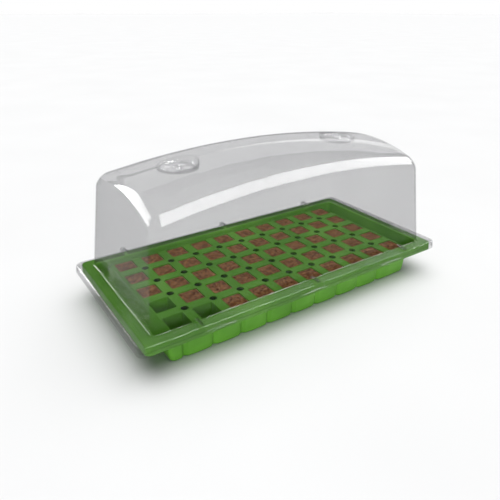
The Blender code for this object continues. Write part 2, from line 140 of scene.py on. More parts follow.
# Camera.
CAMERA_PLACE = (-0.4133, -0.5715, 0.4120)
CAMERA_AZIMUTH = math.radians(-34.04)
CAMERA_ELEVATION = math.radians(26.72)
CAMERA_ROLL = math.radians(0.155)
CAMERA_LENS = 34.6

# Studio lights: the strength of the room and the sky, and the radiance of each panel.
ROOM_LIGHT = 0.18
SKY_LIGHT = 3.3
SKY_SPREAD = math.radians(80)
CEILING_RADIANCE = 0.8
FILL_RADIANCE = 10.0
EAVE_RADIANCE = 21.0
HORIZON_RADIANCE = 1.7
ROOF_RADIANCE = 1.9
FRONT_PANEL_PLACE = (12.8, -6.3, 8.2)
FRONT_PANEL_SIZE = (25.2, 14.4)
FRONT_PANEL_TURN = math.radians(12)
END_PANEL_PLACE = (-6.2, 7.9, 4.1)
END_PANEL_SIZE = (5.4, 7.8)
HORIZON_PANEL_PLACE = (14.0, 20.7, 4.3)
HORIZON_PANEL_SIZE = (60.0, 8.6)
ROOF_PANEL_PLACE = (0.6, 0.5, 0.59)
ROOF_PANEL_SIZE = (2.8, 0.34)
FLOOR_REACH = 40.0

# The share of light that a clear face mirrors: head on for each part, and at a grazing view.
DOME_MIRROR = 0.008
VENT_MIRROR = 0.030
GRAZING_MIRROR = 0.3
# How fast a clear face darkens, and how fast it starts to mirror, as it turns away from the view.
TINT_POWER = 4.0
MIRROR_POWER = 5.0
# Light passes through many clear faces in a row.
CLEAR_BOUNCES = 32

# Plastic colours: dark, plain and pale tones of the greens, and face and edge tints of the clear parts.
# The pale tone of each green also serves as the painted highlight on its edges.
TRAY_TONES = ((0.064, 0.200, 0.017), (0.082, 0.245, 0.022), (0.115, 0.300, 0.038))
INSERT_TONES = ((0.050, 0.168, 0.010), (0.064, 0.206, 0.014), (0.098, 0.262, 0.028))
DOME_TINTS = ((0.88, 0.88, 0.882), (0.55, 0.55, 0.56))
VENT_TINTS = ((0.98, 0.98, 0.982), (0.75, 0.75, 0.76))
SPONGE_DARK = (0.105, 0.045, 0.019)
SPONGE_PLAIN = (0.270, 0.122, 0.050)
SPONGE_PALE = (0.470, 0.255, 0.122)


# Mesh helpers


def finish_mesh(bm, name, material, sharp_angle=35):
    """An object from bm, shaded smooth except across edges sharper than the angle."""
    bmesh.ops.recalc_face_normals(bm, faces=bm.faces)
    mesh = bpy.data.meshes.new(name)
    bm.to_mesh(mesh)
    bm.free()
    mesh.shade_smooth()
    mesh.set_sharp_from_angle(angle=math.radians(sharp_angle))
    made = bpy.data.objects.new(name, mesh)
    bpy.context.scene.collection.objects.link(made)
    if material:
        mesh.materials.append(material)
    return made


def keep_flats_flat(item):
    """Weighs normals by face area, so that broad flats don't shade towards their rounded edges."""
    step = item.modifiers.new("weighted_normals", "WEIGHTED_NORMAL")
    step.mode = "FACE_AREA"
    step.weight = 80
    step.keep_sharp = True
    return item


def clear_solid(item, material):
    """Gives a finished boolean its one material and its smooth shading."""
    item.data.materials.clear()
    item.data.materials.append(material)
    item.data.shade_smooth()
    item.data.set_sharp_from_angle(angle=math.radians(CLEAR_SHARP_ANGLE))
    return keep_flats_flat(item)


def add_ring(bm, points, height):
    """A ring of vertices over (x, y) points, at one height or at a height that depends on x and y."""
    if callable(height):
        return [bm.verts.new((x, y, height(x, y))) for x, y in points]
    return [bm.verts.new((x, y, height)) for x, y in points]


def join_rings(bm, first, second):
    """Faces between two rings of equal length."""
    count = len(first)
    for i in range(count):
        j = (i + 1) % count
        bm.faces.new((first[i], first[j], second[j], second[i]))


def join_all(bm, rings):
    for first, second in zip(rings, rings[1:]):
        join_rings(bm, first, second)


def arc(centre_x, centre_y, radius, start, steps):
    """Points along a quarter circle from the start angle."""
    quarter = math.pi / 2
    angles = [start + quarter * i / steps for i in range(steps + 1)]
    return [(centre_x + radius * math.cos(a), centre_y + radius * math.sin(a)) for a in angles]


def circle(radius, sides, turn=0.0, centre=(0.0, 0.0)):
    angles = [turn + 2 * math.pi * i / sides for i in range(sides)]
    return [(centre[0] + radius * math.cos(a), centre[1] + radius * math.sin(a)) for a in angles]


def rounded_outline(size, corner_steps, long_marks=(), short_marks=(), depth=1.0, stretch=1.0):
    """A rounded rectangle, anticlockwise from its low y side. size is (half x, half y, corner radius).
    A mark is (place along the side, how far the outline steps in there); the side opposite has the same
    marks turned by half a turn. depth scales the steps and stretch scales the places."""
    half_x, half_y, radius = size
    straight_x, straight_y = half_x - radius, half_y - radius
    low = [(x * stretch, -half_y + step * depth) for x, step in long_marks]
    right = [(half_x - step * depth, y * stretch) for y, step in short_marks]
    points = low
    points = points + arc(straight_x, -straight_y, radius, -math.pi / 2, corner_steps)
    points = points + right
    points = points + arc(straight_x, straight_y, radius, 0.0, corner_steps)
    points = points + [(-x, -y) for x, y in low]
    points = points + arc(-straight_x, straight_y, radius, math.pi / 2, corner_steps)
    points = points + [(-x, -y) for x, y in right]
    points = points + arc(-straight_x, -straight_y, radius, math.pi, corner_steps)
    return points


def eased(stations, steps=4):
    """A chain of stations with its corners rounded. A station is (values, cut): its values are any numbers
    that describe the section there, the last one its height, and cut is how far along each neighbouring
    stretch the rounding starts, in the plane of the second value and the height."""
    smooth = [stations[0][0]]
    for before, here, after in zip(stations, stations[1:], stations[2:]):
        values, cut = here
        if not cut:
            smooth.append(values)
            continue
        ends = []
        for other in (before[0], after[0]):
            span = math.hypot(other[1] - values[1], other[-1] - values[-1])
            share = min(cut / max(span, 1e-9), 0.5)
            ends.append([v + (o - v) * share for v, o in zip(values, other)])
        for i in range(steps + 1):
            t = i / steps
            weights = ((1 - t) ** 2, 2 * t * (1 - t), t**2)
            trio = zip(ends[0], values, ends[1])
            smooth.append([sum(w * v for w, v in zip(weights, three)) for three in trio])
    smooth.append(stations[-1][0])
    return smooth


def fill_between(bm, loops):
    """Fills the flat area inside the first loop and outside the others."""
    edges = []
    for loop in loops:
        for i in range(len(loop)):
            pair = (loop[i], loop[(i + 1) % len(loop)])
            edges.append(bm.edges.get(pair) or bm.edges.new(pair))
    bmesh.ops.triangle_fill(bm, use_beauty=True, use_dissolve=False, edges=edges)


def cell_centre(column, row):
    """The middle of a cell, with columns counted from low x and rows from low y."""
    x = (column - (CELL_COLUMNS - 1) / 2) * CELL_PITCH
    y = (row - (CELL_ROWS - 1) / 2) * CELL_PITCH
    return x, y


def boolean(item, operand, operation):
    """Applies an exact boolean and removes the operand."""
    step = item.modifiers.new(operation.lower(), "BOOLEAN")
    step.operation = operation
    step.solver = "EXACT"
    step.object = operand
    graph = bpy.context.evaluated_depsgraph_get()
    result = bpy.data.meshes.new_from_object(item.evaluated_get(graph))
    item.modifiers.clear()
    item.data = result
    bpy.data.objects.remove(operand)
    return item


# Materials


def node_material(name):
    """A new material with its node tree, its Principled shader and its output."""
    made = bpy.data.materials.new(name)
    made.use_nodes = True
    tree = made.node_tree
    return made, tree, tree.nodes["Principled BSDF"], tree.nodes["Material Output"]


def add_node(tree, kind, **settings):
    made = tree.nodes.new(kind)
    for key, value in settings.items():
        if key in made.inputs:
            made.inputs[key].default_value = value
        else:
            setattr(made, key, value)
    return made


def noise_at(tree, scale, detail=3.0, roughness=0.5, offset=(0.0, 0.0, 0.0), stretch=(1.0, 1.0, 1.0)):
    """Noise in the piece's own coordinates, as its factor socket. scale is in cycles per metre."""
    place = add_node(tree, "ShaderNodeTexCoord")
    shift = add_node(tree, "ShaderNodeMapping")
    shift.inputs["Location"].default_value = offset
    shift.inputs["Scale"].default_value = stretch
    made = add_node(tree, "ShaderNodeTexNoise", Scale=scale, Detail=detail, Roughness=roughness)
    tree.links.new(place.outputs["Object"], shift.inputs["Vector"])
    tree.links.new(shift.outputs["Vector"], made.inputs["Vector"])
    return made.outputs["Fac"]


def spread(tree, source, low, high, start=0.3, end=0.7):
    """A factor mapped from start..end to low..high."""
    made = add_node(tree, "ShaderNodeMapRange")
    made.inputs["From Min"].default_value = start
    made.inputs["From Max"].default_value = end
    made.inputs["To Min"].default_value = low
    made.inputs["To Max"].default_value = high
    tree.links.new(source, made.inputs["Value"])
    return made.outputs["Result"]


def ramp(tree, source, stops):
    """A colour ramp over the factor. stops are (position, colour)."""
    made = add_node(tree, "ShaderNodeValToRGB")
    elements = made.color_ramp.elements
    while len(elements) < len(stops):
        elements.new(0.5)
    for element, (position, colour) in zip(elements, stops):
        element.position = position
        element.color = (*colour, 1.0)
    tree.links.new(source, made.inputs["Fac"])
    return made.outputs["Color"]


def bumped(tree, source, strength, distance, shader, under=None):
    """Adds a bump to the shader, on top of the bump under it. Returns its normal."""
    made = add_node(tree, "ShaderNodeBump", Strength=strength, Distance=distance)
    tree.links.new(source, made.inputs["Height"])
    if under:
        tree.links.new(under, made.inputs["Normal"])
    tree.links.new(made.outputs["Normal"], shader.inputs["Normal"])
    return made.outputs["Normal"]


def mixed(tree, kind, factor, first, second):
    """A colour mix. The factor is a number or a socket, and each colour is a tuple or a socket."""
    made = add_node(tree, "ShaderNodeMix", data_type="RGBA", blend_type=kind)
    if isinstance(factor, float):
        made.inputs["Factor"].default_value = factor
    else:
        tree.links.new(factor, made.inputs["Factor"])
    colour_inputs = [s for s in made.inputs if s.type == "RGBA"]
    for socket, value in zip(colour_inputs, (first, second)):
        if isinstance(value, tuple):
            socket.default_value = (*value, 1.0)
        else:
            tree.links.new(value, socket)
    return [s for s in made.outputs if s.type == "RGBA"][0]


def green_plastic(name, dark, plain, pale):
    """Satin moulded plastic: slow shifts of tone, edges made paler as a painted highlight, with a fine
    moulded grain.
    """
    made, tree, shader, _ = node_material(name)
    tone = ramp(tree, noise_at(tree, 14.0, 4.0), [(0.32, dark), (0.52, plain), (0.74, pale)])
    # Painted highlight: convex edges are mixed towards the pale tone.
    painted_edge_highlight = spread(tree, add_node(tree, "ShaderNodeNewGeometry").outputs["Pointiness"], 0.0, 0.55, 0.52, 0.62)
    colour = mixed(tree, "MIX", painted_edge_highlight, tone, pale)
    tree.links.new(colour, shader.inputs["Base Color"])
    tree.links.new(spread(tree, noise_at(tree, 60.0, 5.0), 0.36, 0.50), shader.inputs["Roughness"])
    shader.inputs["IOR"].default_value = 1.49
    shader.inputs["Specular IOR Level"].default_value = 0.35
    grain = bumped(tree, noise_at(tree, 1500.0, 2.0), 0.10, 0.0003, shader)
    bumped(tree, noise_at(tree, 22.0, 2.0), 0.10, 0.003, shader, grain)
    return made


def clear_plastic(name, face_tint, edge_tint, haze, roughness, head_on):
    """A thin clear moulding: what is behind it shows through, tinted more towards grazing views, under
    the gloss of its two faces and a trace of haze."""
    made, tree, shader, output = node_material(name)
    tree.nodes.remove(shader)
    weight = add_node(tree, "ShaderNodeLayerWeight", Blend=0.5)
    graze = add_node(tree, "ShaderNodeMath", operation="POWER")
    graze.inputs[1].default_value = TINT_POWER
    tree.links.new(weight.outputs["Facing"], graze.inputs[0])
    cast = spread(tree, noise_at(tree, 9.0, 2.0), 0.0, 0.04)
    shade = add_node(tree, "ShaderNodeMath", operation="ADD")
    tree.links.new(graze.outputs[0], shade.inputs[0])
    tree.links.new(cast, shade.inputs[1])
    tint = ramp(tree, shade.outputs[0], [(0.0, face_tint), (1.0, edge_tint)])
    through = add_node(tree, "ShaderNodeBsdfTransparent")
    tree.links.new(tint, through.inputs["Color"])
    body = add_node(tree, "ShaderNodeBsdfDiffuse", Color=(0.80, 0.82, 0.82, 1.0))
    cloudy = add_node(tree, "ShaderNodeMixShader")
    cloud = spread(tree, noise_at(tree, 18.0, 5.0, 0.6), haze * 0.6, haze * 1.4)
    tree.links.new(cloud, cloudy.inputs["Fac"])
    tree.links.new(through.outputs[0], cloudy.inputs[1])
    tree.links.new(body.outputs[0], cloudy.inputs[2])
    gloss = add_node(tree, "ShaderNodeBsdfGlossy", Color=(1.0, 1.0, 1.0, 1.0))
    wear = spread(tree, noise_at(tree, 40.0, 4.0), roughness * 0.7, roughness * 1.3)
    tree.links.new(wear, gloss.inputs["Roughness"])
    ripple = add_node(tree, "ShaderNodeBump", Strength=0.01, Distance=0.001)
    tree.links.new(noise_at(tree, 16.0, 1.0), ripple.inputs["Height"])
    tree.links.new(ripple.outputs["Normal"], gloss.inputs["Normal"])
    steep = add_node(tree, "ShaderNodeMath", operation="POWER")
    steep.inputs[1].default_value = MIRROR_POWER
    tree.links.new(weight.outputs["Facing"], steep.inputs[0])
    mirror = spread(tree, steep.outputs[0], head_on, GRAZING_MIRROR, 0.0, 1.0)
    skin = add_node(tree, "ShaderNodeMixShader")
    tree.links.new(mirror, skin.inputs["Fac"])
    tree.links.new(cloudy.outputs[0], skin.inputs[1])
    tree.links.new(gloss.outputs[0], skin.inputs[2])
    tree.links.new(skin.outputs[0], output.inputs["Surface"])
    return made


def sponge(name):
    """Damp brown growing sponge: mottled fibre, and open pores and a few deep pits darkened with painted
    shade.
    """
    made, tree, shader, _ = node_material(name)
    own = add_node(tree, "ShaderNodeObjectInfo")
    place = add_node(tree, "ShaderNodeTexCoord")
    shift = add_node(tree, "ShaderNodeVectorMath", operation="MULTIPLY_ADD")
    tree.links.new(own.outputs["Random"], shift.inputs[0])
    shift.inputs[1].default_value = (7.0, 5.0, 3.0)
    tree.links.new(place.outputs["Object"], shift.inputs[2])

    def local(kind, output_name, **settings):
        node = add_node(tree, kind, **settings)
        tree.links.new(shift.outputs[0], node.inputs["Vector"])
        return node.outputs[output_name]

    fibre = local("ShaderNodeTexNoise", "Fac", Scale=420.0, Detail=6.0, Roughness=0.65)
    patch = local("ShaderNodeTexNoise", "Fac", Scale=210.0, Detail=3.0)
    pore = local("ShaderNodeTexVoronoi", "Distance", Scale=330.0)
    pit = local("ShaderNodeTexVoronoi", "Distance", Scale=150.0)
    tone = ramp(tree, fibre, [(0.36, SPONGE_DARK), (0.50, SPONGE_PLAIN), (0.64, SPONGE_PALE)])
    patches = spread(tree, patch, 0.0, 1.0, 0.38, 0.62)
    tone = mixed(tree, "MULTIPLY", patches, tone, (0.40, 0.33, 0.28))
    # Painted shade: the colour is darkened in the pores, and darker still in the pits.
    hollow = spread(tree, pore, 1.0, 0.0, 0.20, 0.55)
    deep = spread(tree, pit, 1.0, 0.0, 0.14, 0.34)
    tone = mixed(tree, "MULTIPLY", hollow, tone, (0.45, 0.38, 0.32))
    tone = mixed(tree, "MULTIPLY", deep, tone, (0.20, 0.14, 0.11))
    tree.links.new(tone, shader.inputs["Base Color"])
    tree.links.new(spread(tree, fibre, 0.80, 0.98), shader.inputs["Roughness"])
    shader.inputs["Specular IOR Level"].default_value = 0.25
    coarse = bumped(tree, fibre, 0.55, 0.0009, shader)
    pores = bumped(tree, spread(tree, pore, 0.0, 1.0, 0.0, 0.35), 0.45, 0.0008, shader, coarse)
    bumped(tree, spread(tree, pit, 0.0, 1.0, 0.04, 0.16), 0.9, 0.0020, shader, pores)
    return made


# Base tray


def groove_marks(centres):
    """Outline marks across each groove, easing in and out, and on the low bow of the panel after it."""
    marks = []
    for centre in centres:
        for i in range(13):
            share = i / 12
            depth = (0.5 - 0.5 * math.cos(2 * math.pi * share)) ** 0.7
            marks.append((centre + (share - 0.5) * RIB_WIDTH, depth * RIB_DEPTH))
        for share in (0.35, 0.5, 0.65):
            bow = 4 * share * (1 - share) * PANEL_BOW
            marks.append((centre + share * CELL_PITCH, -bow))
    return marks


def add_tray(material):
    """The base tray as one wall, from the foot up the outside, over the rim and down the inside."""
    long_marks = groove_marks([cell_centre(c, 0)[0] for c in range(CELL_COLUMNS - 1)])
    short_marks = groove_marks([(r - 1.5) * CELL_PITCH for r in range(CELL_ROWS - 1)])[:-3]
    wall = TRAY_WALL
    under_ledge, under_rim = TRAY_LEDGE_Z - wall, TRAY_RIM_Z - wall
    end, side = TRAY_END, TRAY_SIDE
    # Each station is half x, half y, corner radius, depth of the grooves and z, then its rounding.
    body_x, body_y, well_x, well_y = 226.5 * MM, 109.6 * MM, 244.6 * MM, 111.5 * MM
    rim_groove_z = TRAY_RIM_Z - 0.9 * MM
    stations = [
        ((212 * MM, 100.0 * MM, 5 * MM, 1.0, 0.0), 0),
        ((222.0 * MM, 107.8 * MM, 6 * MM, 1.0, 0.0), 3.4 * MM),
        ((224.4 * MM, 108.8 * MM, 6.5 * MM, 1.0, 9 * MM), 3 * MM),
        ((body_x, body_y, 7 * MM, 1.0, under_ledge), 0.8 * MM),
        ((well_x - 0.6 * MM, well_y + 0.6 * MM, 8.5 * MM, 0.0, under_ledge), 1.6 * MM),
        ((well_x + wall, well_y + wall, 9.5 * MM, 0.0, under_rim), 1.2 * MM),
        ((end - 2 * wall, side - 2 * wall, 6.5 * MM, 0.0, under_rim), 1.2 * MM),
        ((end - wall, side - wall, 6.5 * MM, 0.0, TRAY_LIP_Z), 0),
        ((end, side, 8 * MM, 0.0, TRAY_LIP_Z), 0.3 * MM),
        ((end - 0.9 * MM, side - 0.8 * MM, 8 * MM, 0.0, TRAY_RIM_Z), 1.8 * MM),
        ((well_x + 4.6 * MM, well_y + 4.0 * MM, 9.4 * MM, 0.0, TRAY_RIM_Z), 0.3 * MM),
        ((well_x + 4.1 * MM, well_y + 3.6 * MM, 9.2 * MM, 0.0, rim_groove_z), 0.3 * MM),
        ((well_x + 2.9 * MM, well_y + 2.7 * MM, 8.8 * MM, 0.0, rim_groove_z), 0.3 * MM),
        ((well_x + 2.4 * MM, well_y + 2.3 * MM, 8.6 * MM, 0.0, TRAY_RIM_Z), 0.3 * MM),
        ((well_x, well_y, 8 * MM, 0.0, TRAY_RIM_Z), 1.0 * MM),
        ((well_x - 2.0 * MM, well_y - 0.8 * MM, 8 * MM, 0.0, TRAY_LEDGE_Z), 1.4 * MM),
        ((body_x - wall, body_y - wall, 5.5 * MM, 1.0, TRAY_LEDGE_Z), 0.8 * MM),
        ((222.9 * MM, 107.3 * MM, 5 * MM, 1.0, 9 * MM), 3 * MM),
        ((220.5 * MM, 106.3 * MM, 4.5 * MM, 1.0, wall), 3 * MM),
        ((212 * MM, 98.5 * MM, 3.5 * MM, 1.0, wall), 0),
    ]
    bm = bmesh.new()
    rings = []
    for half_x, half_y, radius, grooves, z in eased(stations):
        outline = rounded_outline((half_x, half_y, radius), 8, long_marks, short_marks, grooves)
        rings.append(add_ring(bm, outline, z))
    join_all(bm, rings)
    bm.faces.new(rings[0])
    bm.faces.new(rings[-1])
    tray = keep_flats_flat(finish_mesh(bm, "tray_shell", material, 40))
    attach(tray, "tray")
    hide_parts("base_tray")
    return tray


# Cell insert


def rounded_square(half, radius, centre, corner_steps=5):
    """A rounded square outline about a centre."""
    outline = rounded_outline((half, half, radius), corner_steps)
    return [(x + centre[0], y + centre[1]) for x, y in outline]


def add_cell(bm, centre, plate_under):
    """One cell: a raised lip, a tapered cup and its drain hole. Returns its loops in the plate's faces."""
    mouth, floor = CELL_MOUTH / 2, CELL_FLOOR / 2
    wall, top = CELL_WALL, PLATE_TOP_Z
    lip_top = top + LIP_HEIGHT
    stations = [
        ((3.4 * MM, mouth + LIP_WIDTH, top), 0),
        ((3.3 * MM, mouth + LIP_WIDTH - 0.1 * MM, top), 0.1 * MM),
        ((3.1 * MM, mouth + LIP_WIDTH - 0.3 * MM, lip_top), 0.2 * MM),
        ((2.7 * MM, mouth + 0.2 * MM, lip_top), 0.3 * MM),
        ((2.5 * MM, mouth, top - 1.2 * MM), 0.4 * MM),
        ((2.4 * MM, floor, CELL_FLOOR_Z), 1.6 * MM),
        ((3.2 * MM, DRAIN_RADIUS + 1.2 * MM, CELL_FLOOR_Z), 0),
    ]
    rings = []
    for radius, half, z in eased(stations, 3):
        rings.append(add_ring(bm, rounded_square(half, radius, centre), z))
    # The drain's first point lies close to the first point of the square around it.
    drain = circle(DRAIN_RADIUS, len(rings[0]), math.atan2(-1.0, 0.35), centre)
    rings.append(add_ring(bm, drain, CELL_FLOOR_Z))
    rings.append(add_ring(bm, drain, CELL_FLOOR_Z - wall))
    rings.append(add_ring(bm, rounded_square(floor + wall, 4.0 * MM, centre), CELL_FLOOR_Z - wall))
    rings.append(add_ring(bm, rounded_square(mouth + wall, 5.0 * MM, centre), plate_under))
    join_all(bm, rings)
    return rings[0], rings[-1]


def add_insert(material):
    """The cell insert: its plate and skirt, then its cells and air holes."""
    bm = bmesh.new()
    plate_under = PLATE_TOP_Z - PLATE_THICK
    foot_x, foot_y = INSERT_BOX[1].x, INSERT_BOX[1].y
    foot_z = TRAY_LEDGE_Z + GAP
    edge_x, edge_y = PLATE_END, PLATE_SIDE
    stations = [
        ((edge_x - 0.8 * MM, edge_y - 1.2 * MM, 5 * MM, PLATE_TOP_Z), 0),
        ((edge_x, edge_y, 6 * MM, PLATE_TOP_Z), 0.8 * MM),
        ((foot_x - 1.6 * MM, foot_y - 0.15 * MM, 8.6 * MM, foot_z + 1.5 * MM), 0.8 * MM),
        ((foot_x, foot_y, 9 * MM, foot_z), 0),
        ((foot_x - 1 * MM, foot_y - 1 * MM, 8 * MM, foot_z), 0),
        ((edge_x + 0.3 * MM, edge_y - 0.9 * MM, 5 * MM, plate_under), 0),
    ]
    rings = []
    for half_x, half_y, radius, z in eased(stations):
        rings.append(add_ring(bm, rounded_outline((half_x, half_y, radius), 6), z))
    join_all(bm, rings)
    top_loops, under_loops = [rings[0]], [rings[-1]]
    for column in range(CELL_COLUMNS):
        for row in range(CELL_ROWS):
            top, under = add_cell(bm, cell_centre(column, row), plate_under)
            top_loops.append(top)
            under_loops.append(under)
    hole_profile = (
        (AIR_HOLE_RADIUS + 0.7 * MM, PLATE_TOP_Z),
        (AIR_HOLE_RADIUS + 0.25 * MM, PLATE_TOP_Z - 0.15 * MM),
        (AIR_HOLE_RADIUS, PLATE_TOP_Z - 0.6 * MM),
        (AIR_HOLE_RADIUS, plate_under),
    )
    for column in range(CELL_COLUMNS - 1):
        for row in range(CELL_ROWS - 1):
            x, y = cell_centre(column, row)
            centre = (x + CELL_PITCH / 2, y + CELL_PITCH / 2)
            hole = [add_ring(bm, circle(radius, 28, 0.0, centre), z) for radius, z in hole_profile]
            join_all(bm, hole)
            top_loops.append(hole[0])
            under_loops.append(hole[-1])
    fill_between(bm, top_loops)
    fill_between(bm, under_loops)
    insert = keep_flats_flat(finish_mesh(bm, "insert_shell", material, 40))
    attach(insert, "insert")
    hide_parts("cell_insert")
    return insert


# Growing plugs


def add_plug(node, index, material):
    """A plug with crumbled edges and an uneven top, about its own foot so that its sponge moves with it."""
    low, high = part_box(node)
    centre = Vector(((low.x + high.x) / 2, (low.y + high.y) / 2, low.z))
    height = high.z - low.z
    top = high.x - centre.x
    foot = top - PLUG_TAPER
    stations = [
        ((1.8 * MM, foot - 1.2 * MM, 0.0), 0),
        ((2.0 * MM, foot - 0.1 * MM, 0.0), 0.8 * MM),
        ((2.2 * MM, top + 0.2 * MM, height), 0.8 * MM),
        ((2.0 * MM, top - 2.4 * MM, height), 0),
    ]
    # The rounded foot is the chain's first five sections, and 15 more go up the straight side after it.
    chain = eased(stations, 3)
    side = []
    for i in range(1, 16):
        share = i / 16
        side.append([start + (end - start) * share for start, end in zip(chain[4], chain[5])])
    chain = chain[:5] + side + chain[5:]
    flat = top - 2.4 * MM
    for i in range(7, 0, -1):
        chain.append((2.0 * MM * i / 8, flat * i / 8, height))
    bm = bmesh.new()
    rings = []
    for radius, half, z in chain:
        marks = [(half * 0.8 * share, 0.0) for share in (-0.85, -0.5, 0.0, 0.5, 0.85)]
        outline = rounded_outline((half, half, min(radius, half * 0.9)), 4, marks, marks)
        rings.append(add_ring(bm, outline, z))
    join_all(bm, rings)
    bm.faces.new(rings[0])
    bm.faces.new(rings[-1])
    seed = Vector((index * 1.7, index * 0.9, index * 2.3))
    for vert in bm.verts:
        coarse = noise.noise(vert.co * 130 + seed)
        fine = noise.noise(vert.co * 420 + seed)
        lump = 0.35 * coarse + 0.22 * fine - 0.30
        if vert.co.z < height - 0.4 * MM:
            outward = Vector((vert.co.x, vert.co.y, 0.0)).normalized()
            vert.co = vert.co + outward * lump * PLUG_LUMPS
        if vert.co.z > height - 1.5 * MM:
            vert.co.z += (lump - 0.25) * PLUG_TOP_LUMPS
    piece = finish_mesh(bm, "sponge_" + node, material, 180)
    piece.location = centre
    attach(piece, node)
    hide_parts(node)
    return piece


# Dome


def roof_height(x, y):
    """The height of the crowned roof's outside."""
    return DOME_CROWN_Z - ROOF_FALL_X * (x / ROOF_SPAN_X) ** 2 - ROOF_FALL_Y * (y / ROOF_SPAN_Y) ** 2


def dome_marks():
    """Outline marks on the dome's long sides, with the snap ridges eased in and out, and on its ends."""
    long_marks = []
    ridge_shape = [(-place, share) for place, share in RIDGE_END] + [(0.0, 1.0)] + list(RIDGE_END)
    for centre in RIDGE_CENTRES:
        for place, share in ridge_shape:
            long_marks.append((centre + place * RIDGE_LENGTH, -share * RIDGE_PROUD))
    between = [side * x * MM for side in (-1, 1) for x in SIDE_STATIONS_MM]
    long_marks = sorted(long_marks + [(x, 0.0) for x in between])
    short_marks = [(y * END_STATION_MM * MM, 0.0) for y in range(-6, 7)]
    return long_marks, short_marks


def drafted(foot_x, foot_y, inset):
    """Where the wall that starts at a foot point meets the roof, walls leaning in by their draft."""
    z = DOME_CROWN_Z - ROOF_FALL_X - ROOF_FALL_Y
    x, y = foot_x, foot_y
    for _ in range(12):
        rise = z - FLANGE_TOP_Z
        x = foot_x * (1 - DOME_DRAFT_X * rise / DOME_FOOT[0])
        y = foot_y * (1 - DOME_DRAFT_Y * rise / DOME_FOOT[1])
        z = roof_height(x, y) - inset
    return x, y, z


def eave_point(wall, roof, turn):
    """A point on the rounded eave, from the wall at turn 0 to the roof at a quarter turn."""
    below = (wall[0], wall[1], wall[2] - EAVE_RADIUS)
    up_share, in_share = 1 - math.sin(turn), 1 - math.cos(turn)
    point = []
    for corner, low, inward in zip(wall, below, roof):
        point.append(corner + (low - corner) * up_share + (inward - corner) * in_share)
    return point


def dome_form(name, inset):
    """The dome's outside as a closed solid, or the space inside it where inset is the wall thickness."""
    long_marks, short_marks = dome_marks()
    straight_base = DOME_END - SKIRT_CORNER
    corner_steps = 10

    def plan(size, ridges=0.0):
        stretch = (size[0] - size[2]) / straight_base
        return rounded_outline(size, corner_steps, long_marks, short_marks, ridges, stretch)

    end, side, foot = DOME_END, DOME_SIDE, DOME_FOOT
    low_z = SKIRT_LOW_Z - (CUT_EXTRA if inset else 0.0)
    flange_z = FLANGE_TOP_Z
    stations = [
        ((end, side, SKIRT_CORNER, 0.0, low_z), 0),
        ((end, side, SKIRT_CORNER, 0.0, 44.9 * MM), 0),
        ((end, side, SKIRT_CORNER, 1.0, 46.9 * MM), 0.4 * MM),
        ((end - 0.2 * MM, side - 0.1 * MM, SKIRT_CORNER, 0.0, 48.0 * MM), 0.2 * MM),
        ((end - 1.6 * MM, side - 1.0 * MM, 10.5 * MM, 0.0, flange_z), 2.6 * MM),
        ((end - 5.0 * MM, side - 4.2 * MM, 10 * MM, 0.0, flange_z), 0),
        ((foot[0] + 4.2 * MM, foot[1] + 3.8 * MM, 9 * MM, 0.0, flange_z), 0),
        ((foot[0], foot[1], foot[2], 0.0, flange_z), 2.0 * MM),
        ((foot[0] * 0.96, foot[1] * 0.97, foot[2], 0.0, flange_z + 90 * MM), 0),
    ]
    bm = bmesh.new()
    rings = []
    for half_x, half_y, radius, ridges, z in eased(stations)[:-1]:
        size = (half_x - inset, half_y - inset, radius - inset)
        step_down = inset if z > 48 * MM else 0.0
        rings.append(add_ring(bm, plan(size, ridges), z - step_down))
    wall_plan = plan((foot[0] - inset, foot[1] - inset, DOME_TOP_CORNER - inset))
    wall = [drafted(x, y, inset) for x, y in wall_plan]
    inner = (foot[0] - inset - EAVE_RADIUS, foot[1] - inset - EAVE_RADIUS, 2.5 * MM)
    roof = [drafted(x, y, inset) for x, y in plan(inner)]
    # Level rings up the wall keep its shading flat above the rounded foot.
    wall_foot = [vert.co.copy() for vert in rings[-1]]
    wall_head = [Vector(eave_point(a, b, 0.0)) for a, b in zip(wall, roof)]
    for share in (0.02, 0.06, 0.3, 0.65, 0.94):
        rings.append([bm.verts.new(low.lerp(high, share)) for low, high in zip(wall_foot, wall_head)])
    eave_steps = 12
    for step in range(eave_steps + 1):
        turn = math.pi / 2 * step / eave_steps
        rings.append([bm.verts.new(eave_point(a, b, turn)) for a, b in zip(wall, roof)])
    roof_rings = 18
    for i in range(1, roof_rings):
        share = 1 - i / roof_rings
        shrunk = [(x * share, y * share) for x, y, z in roof]
        rings.append(add_ring(bm, shrunk, lambda x, y: roof_height(x, y) - inset))
    join_all(bm, rings)
    bm.faces.new(rings[0])
    apex = bm.verts.new((0.0, 0.0, DOME_CROWN_Z - inset))
    last = rings[-1]
    for i in range(len(last)):
        bm.faces.new((last[i], last[(i + 1) % len(last)], apex))
    return finish_mesh(bm, name, None)


def lathe(bm, centre, profile, sides=64, turn=0.0):
    """A closed turned solid. profile is (radius, z) from its low face to its high face."""
    rings = [add_ring(bm, circle(r, sides, turn, centre), z) for r, z in profile]
    join_all(bm, rings)
    bm.faces.new(rings[0])
    bm.faces.new(rings[-1])


def well_form(name, inset):
    """A tapered round plug over each vent. With inset it is the well's jacket, bigger by the wall."""
    bm = bmesh.new()
    for side in (-1, 1):
        profile = [
            (WELL_FLOOR_RADIUS - 1.2 * MM + inset, WELL_FLOOR_Z - inset),
            (WELL_FLOOR_RADIUS - 0.3 * MM + inset, WELL_FLOOR_Z + 0.3 * MM - inset),
            (WELL_FLOOR_RADIUS + inset, WELL_FLOOR_Z + 1.2 * MM - inset),
            (WELL_MOUTH_RADIUS + inset, DOME_CROWN_Z + CUT_EXTRA),
        ]
        lathe(bm, (side * VENT_X, 0.0), profile)
    return finish_mesh(bm, name, None)


